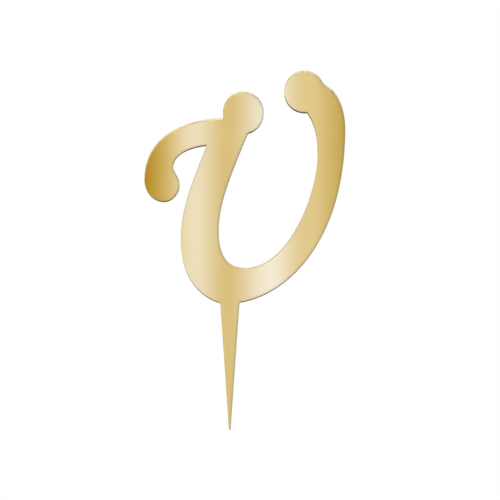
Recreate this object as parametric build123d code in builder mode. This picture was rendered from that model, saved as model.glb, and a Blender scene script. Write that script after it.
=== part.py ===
"""Cake topper: one script letter and its stake, laser-cut in one from a sheet of gold mirror acrylic.

The polished face looks along -Y, +Z is up and the stake points down. The origin lies on the stake's
axis, halfway through the sheet, level with the lowest edge of the letter: the top of the cake.
All sizes are in millimetres, with X to the right and Z up as seen from the front.
"""

import os

from build123d import *

os.makedirs("parts", exist_ok=True)

# Layers of the sheet, front to back
acrylic_thickness = 2.85
film_thickness = 0.05
coat_thickness = 0.10
edge_ease = 0.05

# Stake, from the lowest edge of the letter down
stake_length = 52.0
stake_root_width = 7.95
stake_tip_width = 0.75

# Reach of the letter from the stake's axis, and its height
letter_height = 98.0
stem_reach = 20.25
hook_reach = 47.9

# Thickness of the strokes where they are upright or level
stem_width = 15.6
bowl_thickness = 14.75
hook_width = 11.5
arm_thickness = 11.25

# Bowl: how high its edges turn upright at the stem, and how far right of the stake's axis they lie level
stem_belly_height = 25.9
counter_belly_height = 30.7
bowl_low_offset = -1.6
counter_low_offset = 6.4

# Stem: its outer edge leans up into the arm, left of the left ball, and its inner edge into that ball
stem_outer_inset = 12.6
stem_outer_lean = 22.3
stem_inner_angle = -63.0
stem_inner_lean = 22.5

# Ball ends, a little taller than wide: the left one tops the stem, the right one ends the hook
left_ball_width = 17.0
left_ball_height = 17.7
left_ball_offset = 5.5
left_ball_drop = 17.8
right_ball_width = 16.9
right_ball_height = 17.7
right_ball_inset = 16.9

# Hook: both edges turn upright below its top, the outer one turns again at a shoulder beside the right
# ball, and the inner one comes out of that ball
hook_belly_drop = 24.5
counter_hook_drop = 34.7
hook_shoulder_gap = 3.0
hook_shoulder_drop = 8.1
hook_shoulder_lean = 44.0
hook_outer_angle = 48.0
hook_inner_angle = -99.0
hook_inner_lean = 37.3

# Arm: it leaves the stem level and swings down to the curl
arm_drop = 2.15
arm_top_root = 2.7
arm_low_root = -3.0

# Curl: its ball hangs left of the stem, clear of it. Down its right edge from the arm lie the neck, the
# ball's widest height and the lowest edge, and its left edge turns upright above that lowest edge
curl_gap = 0.65
curl_ball_width = 14.6
neck_depth = 2.7
neck_drop = 9.5
curl_ball_drop = 7.6
curl_low_drop = 7.0
curl_belly_rise = 8.95

# Rounding of the inside corners
shoulder_radius = 0.5
notch_radius = 0.3
left_ball_blend = 1.6
right_ball_blend = 5.0

# Fullness of each quarter turn: the shares of its width and height that its two handles take up
bowl_left_fullness = (0.75, 0.29)
bowl_right_fullness = (0.47, 0.66)
counter_right_fullness = (0.37, 0.59)
counter_left_fullness = (0.61, 0.76)
arm_top_fullness = (0.84, 0.42)
arm_low_fullness = (0.46, 0.77)
curl_left_fullness = (0.48, 0.59)
curl_right_fullness = (0.55, 0.47)

# Fullness of each long edge: the shares of its rise that its two handles take up
stem_outer_fullness = (0.61, 0.26)
stem_inner_fullness = (0.26, 0.52)
hook_outer_fullness = (0.44, 0.28)
hook_inner_fullness = (0.44, 0.39)
neck_fullness = (0.42, 0.28)

# How deep inside a ball end the edges that run into it stop, as shares of the way to its centre
stem_inner_depth = 0.23
hook_outer_depth = 0.16
hook_inner_depth = 0.33

# How far across the curl's ball its lowest point lies, as a share of the ball's width
curl_low_share = 0.56

# The eased front edge leaves at least a third of the stake's tip flat
front_ease = min(edge_ease, stake_tip_width / 3)

# Places worked out from the sizes above
sheet_thickness = acrylic_thickness + film_thickness + coat_thickness
front_plane = Plane.XZ.offset(sheet_thickness / 2)
back_plane = front_plane.offset(-sheet_thickness)
film_plane = front_plane.offset(-acrylic_thickness)
coat_plane = film_plane.offset(-film_thickness)
left_ball = Vector(left_ball_offset, letter_height - left_ball_drop)
right_ball = Vector(hook_reach - right_ball_inset, letter_height - right_ball_height / 2)
arm_top_height = left_ball.Y - arm_drop
arm_low_height = arm_top_height - arm_thickness
curl_right = -stem_reach - curl_gap
curl_left = curl_right - curl_ball_width

# Directions on the face, seen from the front, and the axis that turns them anticlockwise
right = Vector(1, 0)
up = Vector(0, 1)
down = Vector(0, -1)
turn = Axis.Z


def inside_ball(centre, width, height, degrees, depth):
    """A place inside a ball end, at an angle about its centre and a share of the way in to it."""
    ray = right.rotate(turn, degrees) * (1 - depth)
    return centre + Vector(ray.X * width / 2, ray.Y * height / 2)


# Ends of the bowl's two edges, hidden inside the arm and the balls
left_ball_frame = (left_ball, left_ball_width, left_ball_height)
right_ball_frame = (right_ball, right_ball_width, right_ball_height)
outer_top = Vector(left_ball.X - stem_outer_inset, (arm_top_height + arm_low_height) / 2)
inner_top = inside_ball(*left_ball_frame, stem_inner_angle, stem_inner_depth)
outer_end = inside_ball(*right_ball_frame, hook_outer_angle, hook_outer_depth)
inner_end = inside_ball(*right_ball_frame, hook_inner_angle, hook_inner_depth)

# Shoulder of the hook, and the middle of the straight edge from there into the right ball
hook_shoulder_offset = right_ball_width / 2 + hook_shoulder_gap
hook_shoulder = Vector(right_ball.X + hook_shoulder_offset, letter_height - hook_shoulder_drop)
hook_corner = (hook_shoulder + outer_end) / 2


def upright_to_level(start, end, fullness):
    """Adds a quarter turn that leaves its start upright and meets its end level."""
    leave, meet = fullness
    across = end.X - start.X
    rise = end.Y - start.Y
    Bezier(start, start + Vector(0, rise * leave), end - Vector(across * meet, 0), end)


def level_to_upright(start, end, fullness):
    """Adds a quarter turn that leaves its start level and meets its end upright."""
    leave, meet = fullness
    across = end.X - start.X
    rise = end.Y - start.Y
    Bezier(start, start + Vector(across * leave, 0), end - Vector(0, rise * meet), end)


def long_edge(start, start_direction, end, end_direction, fullness):
    """Adds a curve that leaves its start and meets its end in the given directions."""
    leave, meet = fullness
    rise = abs(end.Y - start.Y)
    first_handle = start + start_direction * (rise * leave)
    last_handle = end - end_direction * (rise * meet)
    Bezier(start, first_handle, last_handle, end)


def bowl_outline():
    """Adds the stem, the bowl and the hook as one closed stroke."""
    outer_belly = Vector(-stem_reach, stem_belly_height)
    outer_low = Vector(bowl_low_offset, 0)
    outer_hook = Vector(hook_reach, letter_height - hook_belly_drop)
    inner_hook = Vector(hook_reach - hook_width, letter_height - counter_hook_drop)
    inner_low = Vector(counter_low_offset, bowl_thickness)
    inner_belly = Vector(stem_width - stem_reach, counter_belly_height)

    # Outer edge, down the stem, round the bowl and up to the right ball
    long_edge(outer_top, down.rotate(turn, -stem_outer_lean), outer_belly, down, stem_outer_fullness)
    upright_to_level(outer_belly, outer_low, bowl_left_fullness)
    level_to_upright(outer_low, outer_hook, bowl_right_fullness)
    long_edge(outer_hook, up, hook_shoulder, up.rotate(turn, hook_shoulder_lean), hook_outer_fullness)
    Line(hook_shoulder, outer_end)
    Line(outer_end, inner_end)

    # Inner edge, out of the right ball, round the counter and up to the left ball
    long_edge(inner_end, down.rotate(turn, hook_inner_lean), inner_hook, down, hook_inner_fullness)
    upright_to_level(inner_hook, inner_low, counter_right_fullness)
    level_to_upright(inner_low, inner_belly, counter_left_fullness)
    long_edge(inner_belly, up, inner_top, up.rotate(turn, -stem_inner_lean), stem_inner_fullness)
    Line(inner_top, outer_top)


def arm_outline():
    """Adds the arm that swings left from the stem's top and ends in the curl's ball."""
    top_root = Vector(arm_top_root, arm_top_height)
    low_root = Vector(arm_low_root, arm_low_height)
    neck = Vector(curl_right - neck_depth, arm_low_height - neck_drop)
    curl_ball = Vector(curl_right, neck.Y - curl_ball_drop)
    curl_low = Vector(curl_left + curl_low_share * curl_ball_width, curl_ball.Y - curl_low_drop)
    curl_belly = Vector(curl_left, curl_low.Y + curl_belly_rise)

    level_to_upright(top_root, curl_belly, arm_top_fullness)
    upright_to_level(curl_belly, curl_low, curl_left_fullness)
    level_to_upright(curl_low, curl_ball, curl_right_fullness)
    long_edge(curl_ball, up, neck, up, neck_fullness)
    upright_to_level(neck, low_root, arm_low_fullness)
    Line(low_root, inner_top)
    Line(inner_top, top_root)


def stake_outline():
    """Adds the stake: straight sides that taper to a rounded tip, and run on up into the bowl."""
    tip_radius = stake_tip_width / 2
    tip_height = tip_radius - stake_length
    root_height = bowl_thickness / 2
    taper = (stake_root_width - stake_tip_width) / 2 / -tip_height
    root_half_width = stake_root_width / 2 + taper * root_height
    left_root = Vector(-root_half_width, root_height)
    right_root = Vector(root_half_width, root_height)
    left_tip = Vector(-tip_radius, tip_height)
    right_tip = Vector(tip_radius, tip_height)

    Line(left_root, left_tip)
    ThreePointArc(left_tip, (0, -stake_length), right_tip)
    Line(right_tip, right_root)
    Line(right_root, left_root)


def corner_near(x, height):
    """The cut corner of the blank, an edge through the sheet, that lies nearest to a place on the face."""
    return blank.edges().filter_by(Axis.Y).sort_by_distance((x, 0, height))[0]


# Blank: the whole outline, cut through every layer at once
with BuildPart() as blank:
    with BuildSketch(back_plane) as outline:
        with BuildLine():
            bowl_outline()
        make_face()
        with BuildLine():
            arm_outline()
        make_face()
        with BuildLine():
            stake_outline()
        make_face()
        with Locations(left_ball):
            Ellipse(left_ball_width / 2, left_ball_height / 2)
        with Locations(right_ball):
            Ellipse(right_ball_width / 2, right_ball_height / 2)
    extrude(amount=sheet_thickness)
    fillet(corner_near(hook_corner.X, hook_corner.Y), right_ball_blend)
    fillet(corner_near(inner_top.X, inner_top.Y), left_ball_blend)
    fillet(corner_near(-stake_root_width / 2, 0), shoulder_radius)
    fillet(corner_near(stake_root_width / 2, 0), shoulder_radius)
    fillet(corner_near(outer_top.X, arm_low_height), notch_radius)
    fillet(corner_near(left_ball.X - left_ball_width / 2, arm_top_height), notch_radius)
    fillet(corner_near(inner_end.X, inner_end.Y), notch_radius)

with BuildPart() as acrylic_sheet:
    add(blank.part)
    split(bisect_by=film_plane, keep=Keep.TOP)
    fillet(faces().sort_by(Axis.Y)[0].edges(), front_ease)
acrylic_sheet.part.label = "acrylic_sheet"
export_step(acrylic_sheet.part, "parts/acrylic_sheet.step")

with BuildPart() as mirror_film:
    add(blank.part)
    split(bisect_by=film_plane, keep=Keep.BOTTOM)
    split(bisect_by=coat_plane, keep=Keep.TOP)
mirror_film.part.label = "mirror_film"
export_step(mirror_film.part, "parts/mirror_film.step")

with BuildPart() as back_coat:
    add(blank.part)
    split(bisect_by=coat_plane, keep=Keep.BOTTOM)
back_coat.part.label = "back_coat"
export_step(back_coat.part, "parts/back_coat.step")
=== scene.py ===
import math

import bmesh
import bpy
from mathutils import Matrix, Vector


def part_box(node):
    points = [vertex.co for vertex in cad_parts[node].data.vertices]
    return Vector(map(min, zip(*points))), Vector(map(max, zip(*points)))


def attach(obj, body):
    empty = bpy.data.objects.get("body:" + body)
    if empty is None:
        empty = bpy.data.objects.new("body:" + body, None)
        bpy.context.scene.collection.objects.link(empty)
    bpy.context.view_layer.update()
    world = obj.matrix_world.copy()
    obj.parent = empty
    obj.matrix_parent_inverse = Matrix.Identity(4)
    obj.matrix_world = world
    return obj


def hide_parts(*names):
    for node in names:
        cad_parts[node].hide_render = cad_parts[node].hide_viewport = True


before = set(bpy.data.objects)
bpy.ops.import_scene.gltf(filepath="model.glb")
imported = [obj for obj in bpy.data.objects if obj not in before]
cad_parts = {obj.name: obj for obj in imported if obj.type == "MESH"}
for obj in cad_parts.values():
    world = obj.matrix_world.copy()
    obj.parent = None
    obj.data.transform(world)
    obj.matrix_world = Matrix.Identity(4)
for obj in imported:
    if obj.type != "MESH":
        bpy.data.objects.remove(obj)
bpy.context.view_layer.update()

MM = 0.001

# Camera: in front of the letter and a little below it, looking up, and so far off that its lines stay
# nearly parallel. Distances are in metres, and the sensor's width in millimetres
VIEW_RISE = math.radians(9.5)
VIEW_DISTANCE = 1.2
VIEW_TARGET = Vector((8.3, -1.5, 22.11)) * MM
PIXEL = 0.41263 * MM
IMAGE_PIXELS = 500
SENSOR_WIDTH = 36.0
NEAREST_SEEN = 0.01

# Stage pieces, as profiles of (y, z) places in metres that run from side to side. The card and the shade
# flag stand just above the floor
FLOOR_HEIGHT = -0.25
FOOT_HEIGHT = -0.245
FLOOR_PROFILE = [(-6.0, FLOOR_HEIGHT), (6.0, FLOOR_HEIGHT)]
CARD_PROFILE = [
    (0.0, FOOT_HEIGHT), (-1.3, FOOT_HEIGHT), (-1.5, -0.22), (-1.58, -0.12), (-1.6, 0.05), (-1.6, 1.5)]
FLAG_PROFILE = [(1.0, FOOT_HEIGHT), (1.0, 0.3)]
FLOOR_HALF_WIDTH = 6.0
CARD_HALF_WIDTH = 3.0
FLAG_HALF_WIDTH = 1.5

# Lights: softboxes high on the left in front and high on the right behind, in metres and watts, and the
# strengths of the white world
SOFTBOX_PLACES = {"front_softbox": (-0.9, -1.4, 1.4), "back_softbox": (0.9, 1.4, 1.4)}
SOFTBOX_SIZE = 1.0
SOFTBOX_POWER = 12.0
BACKDROP_STRENGTH = 1.0
FILL_STRENGTH = 0.7

# Painted reflection on the glowing card, in cool shades, from left to right at places in millimetres: a
# satin middle with a soft and a bright painted strip highlight, and painted shade deeper at its sides. It
# repeats across the card, and the dye in the acrylic warms it
SHADED_GOLD = "#8c771c"
SATIN_GOLD = "#a9a594"
PALE_GOLD = "#b2b3bb"
SOFT_HIGHLIGHT = "#b8c0dc"
BRIGHT_HIGHLIGHT = "#becaf6"
BAND_LEFT = -94.0
BAND_RIGHT = 118.0
BAND_STOPS = [
    (BAND_LEFT, SHADED_GOLD),
    (-68.0, SATIN_GOLD),
    (-46.0, SOFT_HIGHLIGHT),
    (-12.0, SATIN_GOLD),
    (27.0, BRIGHT_HIGHLIGHT),
    (52.0, PALE_GOLD),
    (78.0, SATIN_GOLD),
    (BAND_RIGHT, SHADED_GOLD)]
CARD_STRENGTH = 2.2

# Between these two heights, in metres, the card's painted reflection turns paler, by this share when low
# down
HIGH_CARD = 0.1
LOW_CARD = -0.15
LOW_PALENESS = 0.4

# Where the acrylic's normal lies this much along Y, either way, it is a face, and where this little, the
# cut edge
FACE_NORMAL = 0.8
EDGE_NORMAL = 0.5

# Cut edge of the acrylic: a real one's streaks are about 0.15 mm apart, and are drawn coarser to show.
# Between the two limits of their pattern the frost goes from fine to coarse
STREAK_SPACING = 0.8 * MM
STREAK_DEPTH = 0.003 * MM
STREAK_LOW = 0.3
STREAK_HIGH = 0.7
FINE_FROST = 0.1
COARSE_FROST = 0.2
EDGE_CLEARNESS = 0.9

# Face of the acrylic, and its dye
WAVE_LENGTH = 30.0 * MM
WAVE_DEPTH = 0.02 * MM
SMUDGE_SIZE = 12.0 * MM
SMUDGE_START = 0.55
SMUDGE_FULL = 0.8
SMUDGE_ROUGHNESS = 0.03
ACRYLIC_IOR = 1.49
DYE_DENSITY = 200.0

# Painted shade on the acrylic's rim, on the sides that face along this direction, right and a little down,
# as a rim lit from the upper left would be shaded: it starts and is full where a rounded normal is this like
# the true one, and where the rim faces this much along that direction
RIM_WIDTH = 2.4 * MM
RIM_START = 0.998
RIM_FULL = 0.82
SHADED_SIDE = (0.95, 0.0, -0.3)
SIDE_SHADE_START = -0.3
SIDE_SHADE_FULL = 0.9

# Film: how far its front face sinks into the acrylic, how near corners are merged, and its roughness at most
FILM_OVERLAP = 0.02 * MM
MERGE_GAP = 0.001 * MM
FILM_ROUGHNESS = 0.02

# Clouds in the film and in the paint, and the limits of the pattern between which the paint goes from dark
# to light
CLOUD_SIZE = 20.0 * MM
MOTTLE_LOW = 0.25
MOTTLE_HIGH = 0.75

# Finish of the paint: its spray grain is under 0.1 mm, and is drawn coarser to show. Along the rim the
# scorch starts and is full where a rounded normal is this like the true one
GRAIN_SIZE = 0.5 * MM
GRAIN_SHARE = 0.25
LOW_ROUGHNESS = 0.5
HIGH_ROUGHNESS = 0.7
PEEL_SIZE = 1.6 * MM
PEEL_DEPTH = 0.03 * MM
SCORCH_WIDTH = 0.9 * MM
SCORCH_START = 0.99
SCORCH_FULL = 0.75

# Rays that a Bevel node spends on a rounded normal, and the factors that leave only X and Z, the outline's
# own directions
BEVEL_SAMPLES = 8
OUTLINE_ONLY = (1, 0, 1)

# Sockets of a Mix node by number, as the ones for colours and for plain values have the same names
COLOUR_A = 6
COLOUR_B = 7
MIXED_COLOUR = 2
VALUE_A = 2
VALUE_B = 3


def linear(colour):
    """Linear RGBA of an sRGB hex colour."""
    channels = [int(colour[i:i + 2], 16) / 255 for i in (1, 3, 5)]
    return [c / 12.92 if c <= 0.04045 else ((c + 0.055) / 1.055) ** 2.4 for c in channels] + [1.0]


def add_node(tree, kind, settings=None, inputs=None):
    """A new node with its settings, and its inputs set to values or linked to other nodes' outputs."""
    node = tree.nodes.new(kind)
    for name, value in (settings or {}).items():
        setattr(node, name, value)
    for name, value in (inputs or {}).items():
        if isinstance(value, bpy.types.NodeSocket):
            tree.links.new(value, node.inputs[name])
        else:
            node.inputs[name].default_value = value
    return node


def new_material(name):
    """A material with no nodes yet, and its tree."""
    material = bpy.data.materials.new(name)
    material.use_nodes = True
    material.node_tree.nodes.clear()
    return material, material.node_tree


def dress(piece, material):
    """Gives a piece its one material."""
    piece.data.materials.clear()
    piece.data.materials.append(material)


def amber_acrylic():
    """Cast acrylic dyed amber, polished on its face and cut by a laser. The dye turns the mirror behind it
    gold. The face waves very slightly and holds faint smudges, and its rim has a thin band of painted grey
    shade on the sides that face right and down. The cut edge is a deeper amber, slightly frosted and
    streaked."""
    material, tree = new_material("amber_cast_acrylic")
    place = add_node(tree, "ShaderNodeTexCoord")
    facing = add_node(tree, "ShaderNodeSeparateXYZ", inputs={"Vector": place.outputs["Normal"]})
    squareness = add_node(tree, "ShaderNodeMath", {"operation": "ABSOLUTE"}, {0: facing.outputs["Y"]})
    edge = add_node(tree, "ShaderNodeMapRange", inputs={
        "Value": squareness.outputs[0], "From Min": FACE_NORMAL, "From Max": EDGE_NORMAL})

    # Streaks run straight through the sheet, so they don't change along Y
    outline_place = add_node(tree, "ShaderNodeVectorMath", {"operation": "MULTIPLY"}, {
        0: place.outputs["Object"], 1: OUTLINE_ONLY})
    streaks = add_node(tree, "ShaderNodeTexNoise", inputs={
        "Vector": outline_place.outputs[0], "Scale": 1 / STREAK_SPACING, "Detail": 2.0})
    waves = add_node(tree, "ShaderNodeTexNoise", inputs={
        "Vector": place.outputs["Object"], "Scale": 1 / WAVE_LENGTH, "Detail": 0.0})
    smudges = add_node(tree, "ShaderNodeTexNoise", inputs={
        "Vector": place.outputs["Object"], "Scale": 1 / SMUDGE_SIZE, "Detail": 4.0, "Distortion": 1.5})

    # The rim is where the rounded normal of the Bevel node leaves the true one
    rounded = add_node(tree, "ShaderNodeBevel", {"samples": BEVEL_SAMPLES}, {"Radius": RIM_WIDTH})
    geometry = add_node(tree, "ShaderNodeNewGeometry")
    likeness = add_node(tree, "ShaderNodeVectorMath", {"operation": "DOT_PRODUCT"}, {
        0: rounded.outputs[0], 1: geometry.outputs["True Normal"]})
    rim = add_node(tree, "ShaderNodeMapRange", inputs={
        "Value": likeness.outputs["Value"], "From Min": RIM_START, "From Max": RIM_FULL})

    # The painted shade lies where the rim faces along the shaded side. Seen from inside the sheet the
    # normals are turned round, so there the sign of that direction is turned back
    outward = add_node(tree, "ShaderNodeVectorMath", {"operation": "MULTIPLY"}, {
        0: rounded.outputs[0], 1: OUTLINE_ONLY})
    heading = add_node(tree, "ShaderNodeVectorMath", {"operation": "NORMALIZE"}, {0: outward.outputs[0]})
    shade_facing = add_node(tree, "ShaderNodeVectorMath", {"operation": "DOT_PRODUCT"}, {
        0: heading.outputs[0], 1: SHADED_SIDE})
    side = add_node(tree, "ShaderNodeMapRange", inputs={
        "Value": geometry.outputs["Backfacing"], "To Min": 1.0, "To Max": -1.0})
    outer_shade_facing = add_node(tree, "ShaderNodeMath", {"operation": "MULTIPLY"}, {
        0: shade_facing.outputs["Value"], 1: side.outputs[0]})
    side_shade = add_node(tree, "ShaderNodeMapRange", inputs={
        "Value": outer_shade_facing.outputs[0], "From Min": SIDE_SHADE_START, "From Max": SIDE_SHADE_FULL})
    rim_shade = add_node(tree, "ShaderNodeMath", {"operation": "MULTIPLY"}, {
        0: rim.outputs[0], 1: side_shade.outputs[0]})

    edge_tint = add_node(tree, "ShaderNodeMix", {"data_type": "RGBA"}, {
        "Factor": streaks.outputs["Fac"], COLOUR_A: linear("#94703c"), COLOUR_B: linear("#cfa968")})
    # Painted shade: the face's tint turns grey-blue where the rim faces the shaded side
    face_tint = add_node(tree, "ShaderNodeMix", {"data_type": "RGBA"}, {
        "Factor": rim_shade.outputs[0], COLOUR_A: linear("#ffffff"), COLOUR_B: linear("#cad6e8")})
    colour = add_node(tree, "ShaderNodeMix", {"data_type": "RGBA"}, {
        "Factor": edge.outputs[0],
        COLOUR_A: face_tint.outputs[MIXED_COLOUR], COLOUR_B: edge_tint.outputs[MIXED_COLOUR]})
    face_roughness = add_node(tree, "ShaderNodeMapRange", inputs={
        "Value": smudges.outputs["Fac"],
        "From Min": SMUDGE_START, "From Max": SMUDGE_FULL, "To Max": SMUDGE_ROUGHNESS})
    edge_roughness = add_node(tree, "ShaderNodeMapRange", inputs={
        "Value": streaks.outputs["Fac"],
        "From Min": STREAK_LOW, "From Max": STREAK_HIGH, "To Min": FINE_FROST, "To Max": COARSE_FROST})
    roughness = add_node(tree, "ShaderNodeMix", inputs={
        "Factor": edge.outputs[0], VALUE_A: face_roughness.outputs[0], VALUE_B: edge_roughness.outputs[0]})
    clearness = add_node(tree, "ShaderNodeMapRange", inputs={
        "Value": edge.outputs[0], "To Min": 1.0, "To Max": EDGE_CLEARNESS})
    face_height = add_node(tree, "ShaderNodeMath", {"operation": "MULTIPLY"}, {
        0: waves.outputs["Fac"], 1: WAVE_DEPTH})
    edge_height = add_node(tree, "ShaderNodeMath", {"operation": "MULTIPLY"}, {
        0: streaks.outputs["Fac"], 1: STREAK_DEPTH})
    height = add_node(tree, "ShaderNodeMix", inputs={
        "Factor": edge.outputs[0], VALUE_A: face_height.outputs[0], VALUE_B: edge_height.outputs[0]})
    relief = add_node(tree, "ShaderNodeBump", inputs={"Distance": 1.0, "Height": height.outputs[0]})

    surface = add_node(tree, "ShaderNodeBsdfPrincipled", inputs={
        "Base Color": colour.outputs[MIXED_COLOUR], "Roughness": roughness.outputs[0], "IOR": ACRYLIC_IOR,
        "Transmission Weight": clearness.outputs[0], "Normal": relief.outputs[0]})
    dye = add_node(tree, "ShaderNodeVolumeAbsorption", inputs={
        "Color": linear("#f1d94c"), "Density": DYE_DENSITY})
    add_node(tree, "ShaderNodeOutputMaterial", inputs={
        "Surface": surface.outputs[0], "Volume": dye.outputs[0]})
    return material


def aluminium_film():
    """Aluminium laid down on the acrylic in a vacuum: a bright, even mirror, very faintly clouded."""
    material, tree = new_material("vacuum_deposited_aluminium")
    place = add_node(tree, "ShaderNodeTexCoord")
    clouds = add_node(tree, "ShaderNodeTexNoise", inputs={
        "Vector": place.outputs["Object"], "Scale": 1 / CLOUD_SIZE, "Detail": 3.0})
    colour = add_node(tree, "ShaderNodeMix", {"data_type": "RGBA"}, {
        "Factor": clouds.outputs["Fac"], COLOUR_A: linear("#f4f1ec"), COLOUR_B: linear("#f8f5f0")})
    roughness = add_node(tree, "ShaderNodeMath", {"operation": "MULTIPLY"}, {
        0: clouds.outputs["Fac"], 1: FILM_ROUGHNESS})
    surface = add_node(tree, "ShaderNodeBsdfPrincipled", inputs={
        "Base Color": colour.outputs[MIXED_COLOUR], "Roughness": roughness.outputs[0], "Metallic": 1.0})
    add_node(tree, "ShaderNodeOutputMaterial", inputs={"Surface": surface.outputs[0]})
    return material


def grey_paint():
    """Grey paint sprayed on as one matt coat: softly clouded, fine-grained, with the dimples of orange peel,
    and scorched brown along the rim where the laser cut it."""
    material, tree = new_material("sprayed_grey_paint")
    place = add_node(tree, "ShaderNodeTexCoord")
    clouds = add_node(tree, "ShaderNodeTexNoise", inputs={
        "Vector": place.outputs["Object"], "Scale": 1 / CLOUD_SIZE, "Detail": 4.0})
    grain = add_node(tree, "ShaderNodeTexNoise", inputs={
        "Vector": place.outputs["Object"], "Scale": 1 / GRAIN_SIZE, "Detail": 1.0})
    peel = add_node(tree, "ShaderNodeTexNoise", inputs={
        "Vector": place.outputs["Object"], "Scale": 1 / PEEL_SIZE, "Detail": 1.0})

    # The rim is where the rounded normal of the Bevel node leaves the true one
    rounded = add_node(tree, "ShaderNodeBevel", {"samples": BEVEL_SAMPLES}, {"Radius": SCORCH_WIDTH})
    geometry = add_node(tree, "ShaderNodeNewGeometry")
    likeness = add_node(tree, "ShaderNodeVectorMath", {"operation": "DOT_PRODUCT"}, {
        0: rounded.outputs[0], 1: geometry.outputs["True Normal"]})
    rim = add_node(tree, "ShaderNodeMapRange", inputs={
        "Value": likeness.outputs["Value"], "From Min": SCORCH_START, "From Max": SCORCH_FULL})

    mottle = add_node(tree, "ShaderNodeMapRange", inputs={
        "Value": clouds.outputs["Fac"], "From Min": MOTTLE_LOW, "From Max": MOTTLE_HIGH})
    clouded = add_node(tree, "ShaderNodeMix", {"data_type": "RGBA"}, {
        "Factor": mottle.outputs[0], COLOUR_A: linear("#716e68"), COLOUR_B: linear("#8a8781")})
    grained = add_node(tree, "ShaderNodeMix", {"data_type": "RGBA", "blend_type": "OVERLAY"}, {
        "Factor": GRAIN_SHARE, COLOUR_A: clouded.outputs[MIXED_COLOUR], COLOUR_B: grain.outputs["Color"]})
    colour = add_node(tree, "ShaderNodeMix", {"data_type": "RGBA"}, {
        "Factor": rim.outputs[0], COLOUR_A: grained.outputs[MIXED_COLOUR], COLOUR_B: linear("#4a4036")})
    roughness = add_node(tree, "ShaderNodeMapRange", inputs={
        "Value": grain.outputs["Fac"], "To Min": LOW_ROUGHNESS, "To Max": HIGH_ROUGHNESS})
    relief = add_node(tree, "ShaderNodeBump", inputs={
        "Distance": PEEL_DEPTH, "Height": peel.outputs["Fac"]})
    surface = add_node(tree, "ShaderNodeBsdfPrincipled", inputs={
        "Base Color": colour.outputs[MIXED_COLOUR], "Roughness": roughness.outputs[0],
        "Normal": relief.outputs[0]})
    add_node(tree, "ShaderNodeOutputMaterial", inputs={"Surface": surface.outputs[0]})
    return material


def mirror_layer():
    """The film, merged, with its front face sunk a little into the acrylic: where the two lie exactly on
    each other, the mirror renders dark."""
    layer = bpy.data.objects.new("mirror_layer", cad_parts["mirror_film"].data.copy())
    bpy.context.scene.collection.objects.link(layer)
    low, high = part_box("mirror_film")
    mesh = bmesh.new()
    mesh.from_mesh(layer.data)
    bmesh.ops.remove_doubles(mesh, verts=mesh.verts, dist=MERGE_GAP)
    for vertex in mesh.verts:
        if vertex.co.y < (low.y + high.y) / 2:
            vertex.co.y -= FILM_OVERLAP
    mesh.to_mesh(layer.data)
    mesh.free()
    return layer


def studio_paper():
    """White matt paper for the floor."""
    material, tree = new_material("white_studio_paper")
    surface = add_node(tree, "ShaderNodeBsdfDiffuse", inputs={"Color": linear("#f4f4f2")})
    add_node(tree, "ShaderNodeOutputMaterial", inputs={"Surface": surface.outputs[0]})
    return material


def painted_reflection_card():
    """A glowing card with a painted reflection: satin gold with painted strip highlights and painted shade
    at its sides, paler low down. These are the soft upright bands that the mirror shows.
    """
    material, tree = new_material("painted_reflection_card")
    place = add_node(tree, "ShaderNodeTexCoord")
    position = add_node(tree, "ShaderNodeSeparateXYZ", inputs={"Vector": place.outputs["Object"]})
    bands = add_node(tree, "ShaderNodeMapRange", {"clamp": False}, {
        "Value": position.outputs["X"], "From Min": BAND_LEFT * MM, "From Max": BAND_RIGHT * MM})
    share = add_node(tree, "ShaderNodeMath", {"operation": "FRACT"}, {0: bands.outputs[0]})
    shades = add_node(tree, "ShaderNodeValToRGB", inputs={"Fac": share.outputs[0]})
    shades.color_ramp.interpolation = "CARDINAL"
    stops = shades.color_ramp.elements
    while len(stops) < len(BAND_STOPS):
        stops.new(1.0)
    for stop, (x, colour) in zip(stops, BAND_STOPS):
        stop.position = (x - BAND_LEFT) / (BAND_RIGHT - BAND_LEFT)
        stop.color = linear(colour)
    paleness = add_node(tree, "ShaderNodeMapRange", inputs={
        "Value": position.outputs["Z"], "From Min": HIGH_CARD, "From Max": LOW_CARD, "To Max": LOW_PALENESS})
    colour = add_node(tree, "ShaderNodeMix", {"data_type": "RGBA"}, {
        "Factor": paleness.outputs[0], COLOUR_A: shades.outputs[0], COLOUR_B: linear("#d4dbf2")})
    # The card glows with its painted reflection, though it is no lamp
    glow = add_node(tree, "ShaderNodeEmission", inputs={
        "Color": colour.outputs[MIXED_COLOUR], "Strength": CARD_STRENGTH})
    add_node(tree, "ShaderNodeOutputMaterial", inputs={"Surface": glow.outputs[0]})
    return material


def edge_shade_sheet():
    """A brown sheet of painted shade: the edges that look down show it and turn darker."""
    material, tree = new_material("edge_shade_sheet")
    surface = add_node(tree, "ShaderNodeBsdfDiffuse", inputs={"Color": linear("#a28c62")})
    add_node(tree, "ShaderNodeOutputMaterial", inputs={"Surface": surface.outputs[0]})
    return material


def stage_strip(name, profile, half_width, material, in_view):
    """A stage piece that runs from side to side along a profile. If it isn't in view, only mirrors and glass
    see it."""
    corners = [(x, y, z) for y, z in profile for x in (-half_width, half_width)]
    faces = [(i, i + 1, i + 3, i + 2) for i in range(0, len(corners) - 2, 2)]
    mesh = bpy.data.meshes.new(name)
    mesh.from_pydata(corners, [], faces)
    strip = bpy.data.objects.new(name, mesh)
    bpy.context.scene.collection.objects.link(strip)
    dress(strip, material)
    strip.visible_camera = in_view
    strip.visible_diffuse = in_view
    strip.visible_shadow = in_view


# Pieces: the CAD's acrylic and paint, and the film with its front face sunk
film = mirror_layer()
dress(film, aluminium_film())
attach(film, "root")
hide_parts("mirror_film")
dress(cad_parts["acrylic_sheet"], amber_acrylic())
dress(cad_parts["back_coat"], grey_paint())
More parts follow.
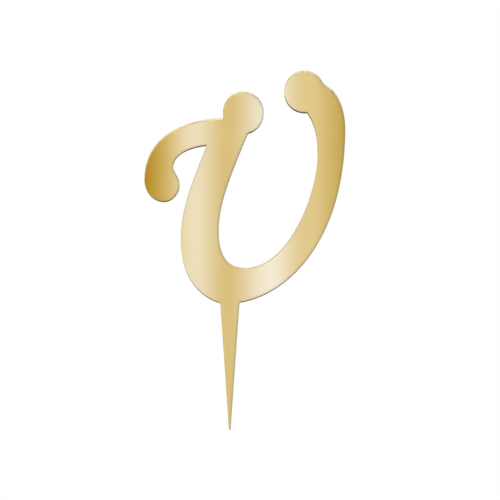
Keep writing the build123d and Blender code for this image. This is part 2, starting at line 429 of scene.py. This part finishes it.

# Stage: a pale floor, the glowing card in front whose painted reflection the mirror shows, and the brown
# sheet behind that puts painted shade into the edges that look down
stage_strip("floor", FLOOR_PROFILE, FLOOR_HALF_WIDTH, studio_paper(), True)
stage_strip("gold_card", CARD_PROFILE, CARD_HALF_WIDTH, painted_reflection_card(), False)
# A sheet of painted shade behind the letter, which darkens its edges that look down
stage_strip("edge_shade_flag", FLAG_PROFILE, FLAG_HALF_WIDTH, edge_shade_sheet(), False)

# World: plain white to the camera, to mirrors and to glass, and a soft light to all else
scene = bpy.context.scene
scene.view_settings.view_transform = "Standard"
scene.world = bpy.data.worlds.new("white_studio")
scene.world.use_nodes = True
tree = scene.world.node_tree
tree.nodes.clear()
path = add_node(tree, "ShaderNodeLightPath")
seen = path.outputs["Is Camera Ray"]
for kind in ("Is Glossy Ray", "Is Transmission Ray"):
    either = add_node(tree, "ShaderNodeMath", {"operation": "MAXIMUM"}, {0: seen, 1: path.outputs[kind]})
    seen = either.outputs[0]
backdrop = add_node(tree, "ShaderNodeBackground", inputs={
    "Color": linear("#ffffff"), "Strength": BACKDROP_STRENGTH})
fill = add_node(tree, "ShaderNodeBackground", inputs={
    "Color": linear("#ffffff"), "Strength": FILL_STRENGTH})
sky = add_node(tree, "ShaderNodeMixShader", inputs={0: seen, 1: fill.outputs[0], 2: backdrop.outputs[0]})
add_node(tree, "ShaderNodeOutputWorld", inputs={"Surface": sky.outputs[0]})

# Softboxes, each turned to the letter
for name, place in SOFTBOX_PLACES.items():
    lamp = bpy.data.lights.new(name, "AREA")
    lamp.shape = "DISK"
    lamp.size = SOFTBOX_SIZE
    lamp.energy = SOFTBOX_POWER
    softbox = bpy.data.objects.new(name, lamp)
    scene.collection.objects.link(softbox)
    softbox.location = place
    softbox.rotation_euler = (VIEW_TARGET - softbox.location).to_track_quat("-Z", "Y").to_euler()

# Camera
look = Vector((0, math.cos(VIEW_RISE), math.sin(VIEW_RISE)))
lens = bpy.data.cameras.new("camera")
lens.sensor_width = SENSOR_WIDTH
lens.lens = SENSOR_WIDTH * VIEW_DISTANCE / (IMAGE_PIXELS * PIXEL)
lens.clip_start = NEAREST_SEEN
camera = bpy.data.objects.new("camera", lens)
scene.collection.objects.link(camera)
camera.location = VIEW_TARGET - look * VIEW_DISTANCE
camera.rotation_euler = look.to_track_quat("-Z", "Y").to_euler()
scene.camera = camera
